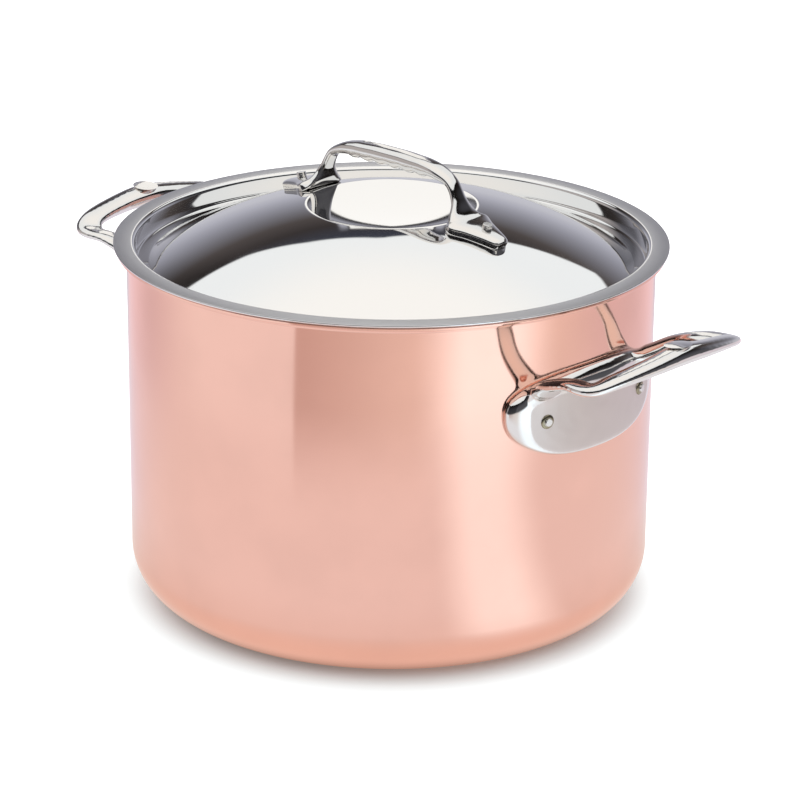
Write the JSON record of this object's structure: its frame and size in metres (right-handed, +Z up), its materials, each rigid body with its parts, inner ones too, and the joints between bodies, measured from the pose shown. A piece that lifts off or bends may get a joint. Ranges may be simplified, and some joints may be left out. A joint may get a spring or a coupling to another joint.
{
  "type": "stockpot",
  "caption": "Straight-sided copper stockpot with a steel lining, riveted cast side handles and a domed drop-in lid with a riveted arch handle.",
  "frame": {"origin": "centre of the base, on the surface that the pot stands on", "axes": "+Z up, +X through the middle of both side handles, +Y across them"},
  "size_m": [0.3546, 0.2562, 0.214],
  "materials": {
    "copper": "mirror-polished copper, warm pink",
    "lining": "satin stainless steel",
    "base_steel": "turned magnetic steel",
    "cast_steel": "polished cast stainless steel with a satin plate face",
    "rivet_steel": "satin stainless steel",
    "lid_steel": "mirror-polished stainless steel with a satin flange"
  },
  "bodies": {
    "pot": {"copper_shell": "copper", "steel_lining": "lining", "magnetic_base_disc": "base_steel", "side_handle_right": "cast_steel", "side_handle_left": "cast_steel", "handle_rivet_right_front": "rivet_steel", "handle_rivet_right_rear": "rivet_steel", "handle_rivet_left_front": "rivet_steel", "handle_rivet_left_rear": "rivet_steel"},
    "lid": {"lid_shell": "lid_steel", "lid_handle": "cast_steel", "lid_rivet_right": "rivet_steel", "lid_rivet_left": "rivet_steel"}
  },
  "joints": [
    {"name": "lid_lift", "type": "slide", "parent": "pot", "child": "lid", "axis": [0, 0, 1], "range_m": [0, 0.12]}
  ]
}
